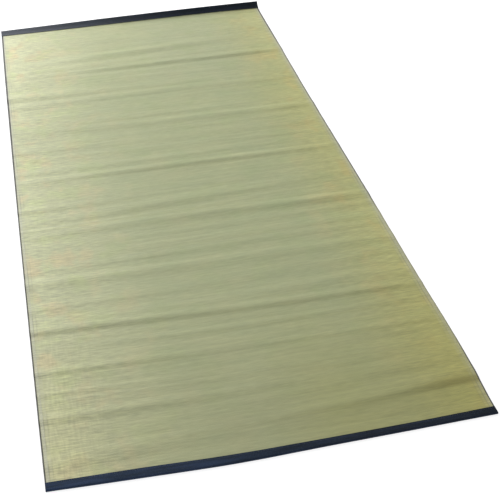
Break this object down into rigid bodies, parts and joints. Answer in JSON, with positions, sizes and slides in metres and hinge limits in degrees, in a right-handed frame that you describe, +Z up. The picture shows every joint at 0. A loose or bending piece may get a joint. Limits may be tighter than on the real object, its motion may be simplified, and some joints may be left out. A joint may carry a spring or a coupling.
{
  "type": "goza mat",
  "caption": "Flat woven rush mat with navy cloth folded over both short ends, lying on a floor with soft folds across it and its far end curled up.",
  "frame": {"origin": "on the floor, under the middle of the mat", "axes": "+X across the mat along its rushes, +Y along its length to the curled far end, +Z up from the floor"},
  "size_m": [0.7573, 1.8031, 0.0189],
  "materials": {
    "rush": "woven rush with a faint straw sheen",
    "navy_cloth": "matt woven cotton"
  },
  "bodies": {
    "root": {"rush_mat": "rush", "binding_near": "navy_cloth", "binding_far": "navy_cloth"}
  },
  "joints": []
}
